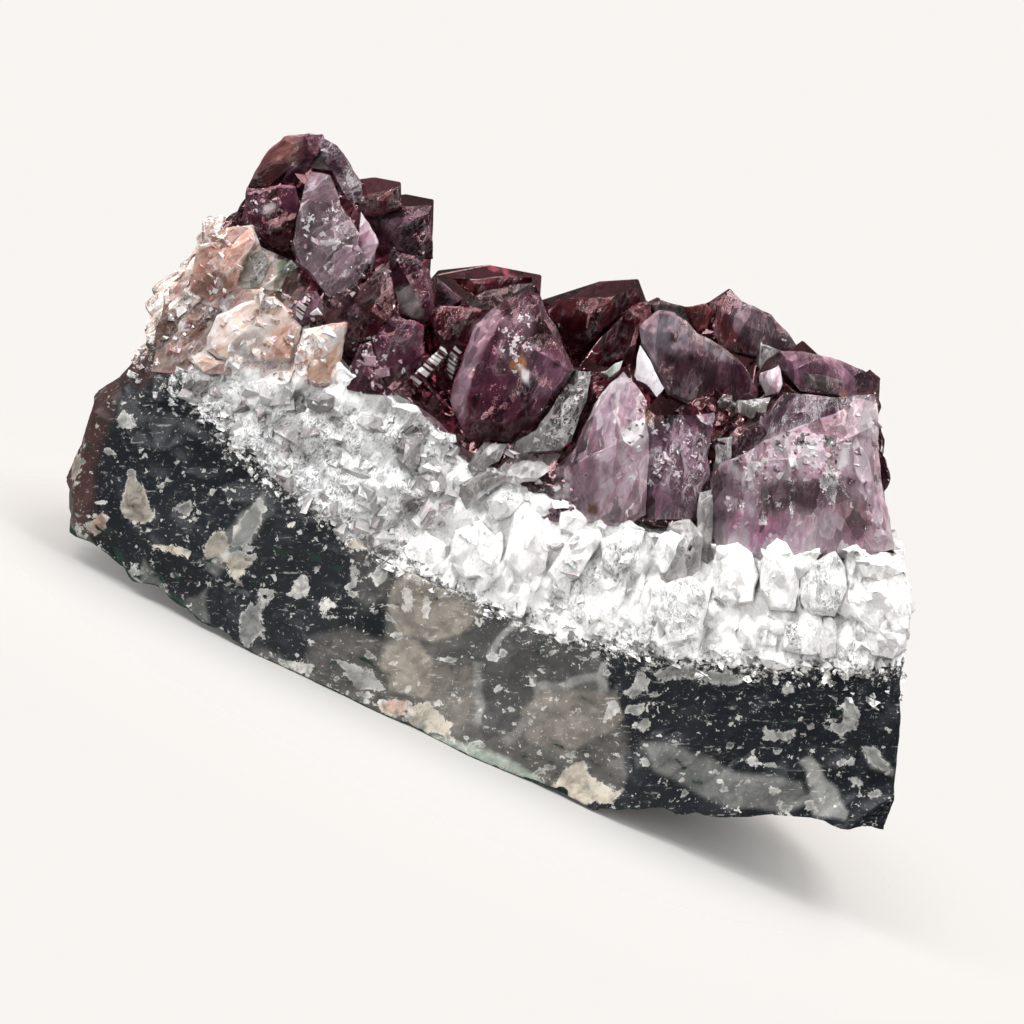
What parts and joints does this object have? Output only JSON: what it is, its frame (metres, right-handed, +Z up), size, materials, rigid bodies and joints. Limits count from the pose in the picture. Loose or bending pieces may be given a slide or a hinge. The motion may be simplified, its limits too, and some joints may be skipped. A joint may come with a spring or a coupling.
{
  "type": "amethyst cluster",
  "caption": "Natural amethyst cluster: purple quartz points on a white quartz band and dark rock, resting on its flat rough underside.",
  "frame": {"origin": "under the middle of the cluster, on the surface that its underside rests on", "axes": "+X along the longest side, from the left peak to the right end; +Z up, the way the points grow; -Y out of the broken face that shows the layers"},
  "size_m": [0.0832, 0.0458, 0.0475],
  "materials": {
    "matrix_rock": "satin",
    "milky_quartz": "satin",
    "amethyst": "gloss"
  },
  "bodies": {
    "root": {"matrix_rock": "matrix_rock", "milky_quartz_band": "milky_quartz", "amethyst_crystals": "amethyst"}
  },
  "joints": []
}
